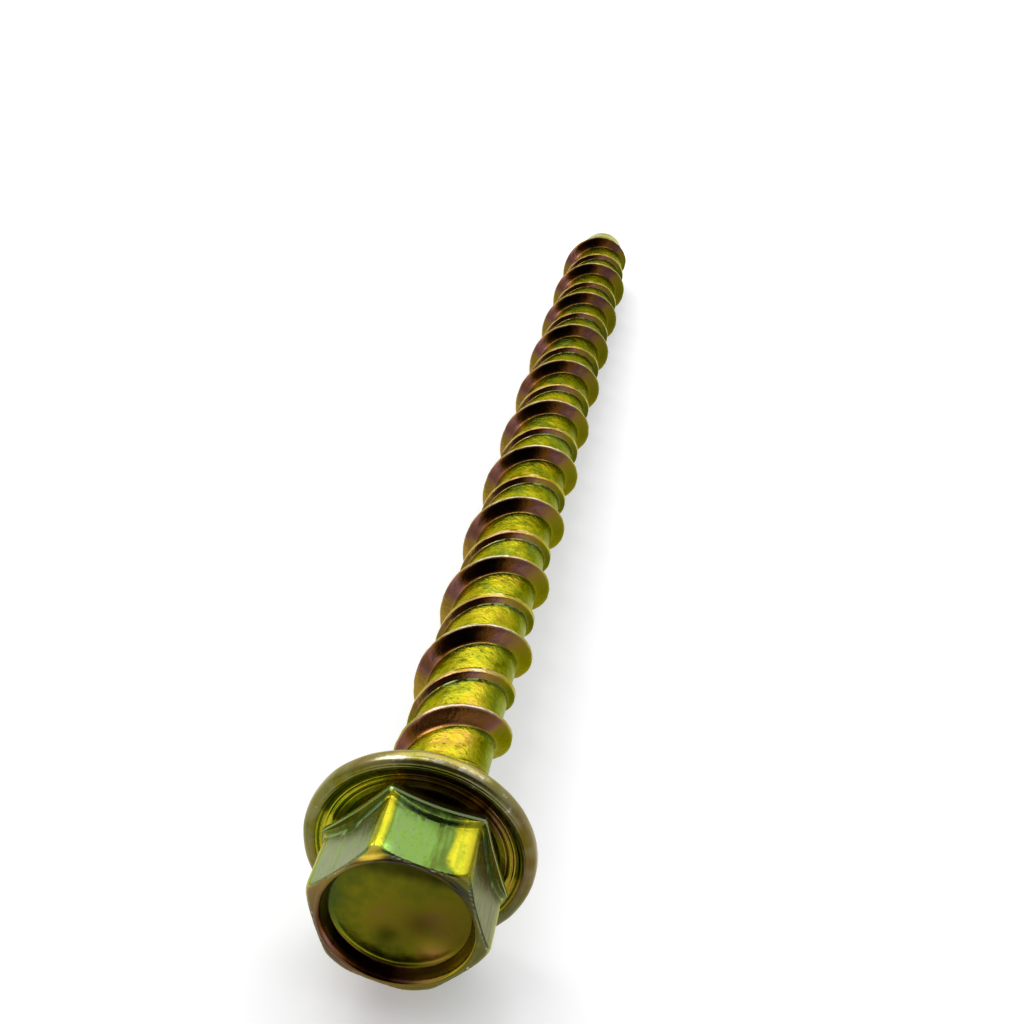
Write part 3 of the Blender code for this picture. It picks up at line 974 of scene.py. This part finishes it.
def zinc(
    name, wrinkle, bump, grain_scale=0.0, grain_depth=0.0, roughness_lift=0.0, edge_blue=0.45
):
    material = bpy.data.materials.new(name)
    material.use_nodes = True
    tree = material.node_tree
    zinc_math = partial(math_node, tree)
    shader = tree.nodes["Principled BSDF"]
    shader.inputs["Metallic"].default_value = 1.0
    shader.inputs["Specular Tint"].default_value = (1.0, 1.0, edge_blue, 1.0)
    group = add_node(tree, "ShaderNodeGroup", node_tree=film_group)
    group.inputs["Wrinkle"].default_value = wrinkle
    coords = add_node(tree, "ShaderNodeTexCoord")
    tree.links.new(coords.outputs["Object"], group.inputs["Place"])
    stored = {
        kept: add_node(tree, "ShaderNodeAttribute", attribute_name=kept).outputs["Fac"]
        for kept in ("film", "worn", "tarnish", "mottle", "grain", "brushed")
    }
    for socket, kept in (("Wear and highlight", "worn"), ("Tarnish and shade", "tarnish"), ("Clouds", "mottle")):
        tree.links.new(stored[kept], group.inputs[socket])
    lines = add_node(tree, "ShaderNodeTexNoise", noise_dimensions="1D")
    tree.links.new(stored["grain"], lines.inputs["W"])
    lines.inputs["Scale"].default_value = grain_scale
    lines.inputs["Detail"].default_value = 2.0
    depth = zinc_math("MULTIPLY", stored["brushed"], grain_depth)
    shade = zinc_math("MULTIPLY", zinc_math("SUBTRACT", lines.outputs["Fac"], 0.5), depth)
    film_sum = zinc_math("ADD", stored["film"], zinc_math("MULTIPLY", shade, LINES_IN_FILM))
    tree.links.new(film_sum, group.inputs["Film and painted light"])
    tree.links.new(group.outputs["Colour"], shader.inputs["Base Color"])
    rough = zinc_math("ADD", group.outputs["Roughness"], roughness_lift)
    tree.links.new(rough, shader.inputs["Roughness"])
    relief = zinc_math(
        "ADD", group.outputs["Height"], zinc_math("MULTIPLY", shade, LINES_IN_RELIEF))
    bump_node = add_node(tree, "ShaderNodeBump")
    bump_node.inputs["Strength"].default_value = 1.0
    bump_node.inputs["Distance"].default_value = bump * MM
    tree.links.new(relief, bump_node.inputs["Height"])
    tree.links.new(bump_node.outputs["Normal"], shader.inputs["Normal"])
    return material


shank.data.materials.append(zinc("rolled_zinc", 1.0, 0.040, roughness_lift=0.05))
flange.data.materials.append(zinc("turned_zinc", 0.5, 0.030, 3.8, 0.80, 0.09, 0.80))
head.data.materials.append(zinc("forged_zinc", 0.4, 0.020, 3.0, 0.28, 0.08, 0.70))
print("materials:", [m.name for m in bpy.data.materials if "zinc" in m.name])

# %% [markdown]
# ## Floor and light
# The screw lies on a white floor. A little emission, for camera rays and mirrored rays only,
# keeps it as pale as in the photo, both seen directly and in the metal.

# %% White floor
bpy.ops.object.select_all(action="DESELECT")
bpy.ops.mesh.primitive_plane_add(size=3.0, location=(0, 0, 0))
floor = bpy.context.object
floor.name = "white_floor"
paper = bpy.data.materials.new("white_paper")
paper.use_nodes = True
paper_tree = paper.node_tree
paper_math = partial(math_node, paper_tree)
paper_shader = paper_tree.nodes["Principled BSDF"]
paper_shader.inputs["Base Color"].default_value = (0.86, 0.86, 0.87, 1.0)
paper_shader.inputs["Roughness"].default_value = 0.9
paper_shader.inputs["Specular IOR Level"].default_value = 0.1
paper_shader.inputs["Emission Color"].default_value = (1.0, 1.0, 1.0, 1.0)
ray = add_node(paper_tree, "ShaderNodeLightPath").outputs
shown = paper_math("MAXIMUM", ray["Is Camera Ray"], ray["Is Glossy Ray"])
shown = paper_math("MAXIMUM", shown, ray["Is Transmission Ray"])
paper_tree.links.new(
    paper_math("MULTIPLY", shown, 0.22), paper_shader.inputs["Emission Strength"])
floor.data.materials.append(paper)
print("floor is", round(floor.dimensions.x, 1), "m wide")

# %% [markdown]
# Metal only shows what it mirrors, so the light matters more than the paint. The sky is pale
# and brightest beyond the tip. A dark patch in it, above and behind the camera, is what the
# flanks mirror, so they go brown and black.

# %% Sky of the studio
DARK_WAY = Vector((0.14, -0.80, 0.58)).normalized()
DARK_SKY = (0.055, 0.055, 0.055)
SKY_ENDS = ((0.20, (0.55, 0.55, 0.56, 1.0)), (0.95, (0.96, 0.96, 0.96, 1.0)))
world = bpy.data.worlds.new("studio")
scene.world = world
world.use_nodes = True
sky = world.node_tree
sky_math = partial(math_node, sky)
background = sky.nodes["Background"]
direction = add_node(sky, "ShaderNodeTexCoord").outputs["Generated"]
split = add_node(sky, "ShaderNodeSeparateXYZ")
sky.links.new(direction, split.inputs[0])
ahead = sky_math("SUBTRACT", split.outputs["Y"], sky_math("MULTIPLY", split.outputs["Z"], 0.35))
glow = add_node(sky, "ShaderNodeValToRGB")
for element, (position, colour) in zip(glow.color_ramp.elements, SKY_ENDS):
    element.position = position
    element.color = colour
sky.links.new(sky_math("ADD", sky_math("MULTIPLY", ahead, 0.5), 0.5), glow.inputs["Fac"])
toward = add_node(sky, "ShaderNodeVectorMath", operation="DOT_PRODUCT")
sky.links.new(direction, toward.inputs[0])
toward.inputs[1].default_value = DARK_WAY
patch_edge = sky_math("SUBTRACT", toward.outputs["Value"], 0.74)
horizon = sky_math("SUBTRACT", split.outputs["Z"], 0.10)
dark = sky_math(
    "MULTIPLY",
    sky_math("MULTIPLY", patch_edge, 7.0, clamp=True),
    sky_math("MULTIPLY", horizon, 8.0, clamp=True))
studio = mix_colour(sky, dark, glow.outputs["Color"], DARK_SKY)
sky.links.new(studio, background.inputs["Color"])
background.inputs["Strength"].default_value = 1.2
print("sky nodes:", len(sky.nodes))

# %% [markdown]
# A broad window beyond the tip lights the tops of the threads and the upper flats. Two smaller
# lamps, high on the left, add to it.

# %% Soft lamps


def soft_lamp(name, place, target, width, height, power):
    lamp = bpy.data.lights.new(name, "AREA")
    lamp.shape = "RECTANGLE"
    lamp.size = width
    lamp.size_y = height
    lamp.energy = power
    holder = bpy.data.objects.new(name, lamp)
    scene.collection.objects.link(holder)
    holder.location = place
    holder.visible_camera = False
    holder.rotation_euler = (Vector(target) - Vector(place)).to_track_quat("-Z", "Y").to_euler()


soft_lamp("window", (0.0, 0.42, 0.42), (0, 0, 0), 0.84, 0.27, 1.55)
soft_lamp("ceiling", (-0.38, 0.12, 0.50), (0, 0, 0), 0.30, 0.30, 0.95)
soft_lamp("strip", (-0.15, 0.09, 0.58), (0, -0.03, 0), 0.12, 0.12, 0.25)
scene.view_settings.view_transform = "Standard"
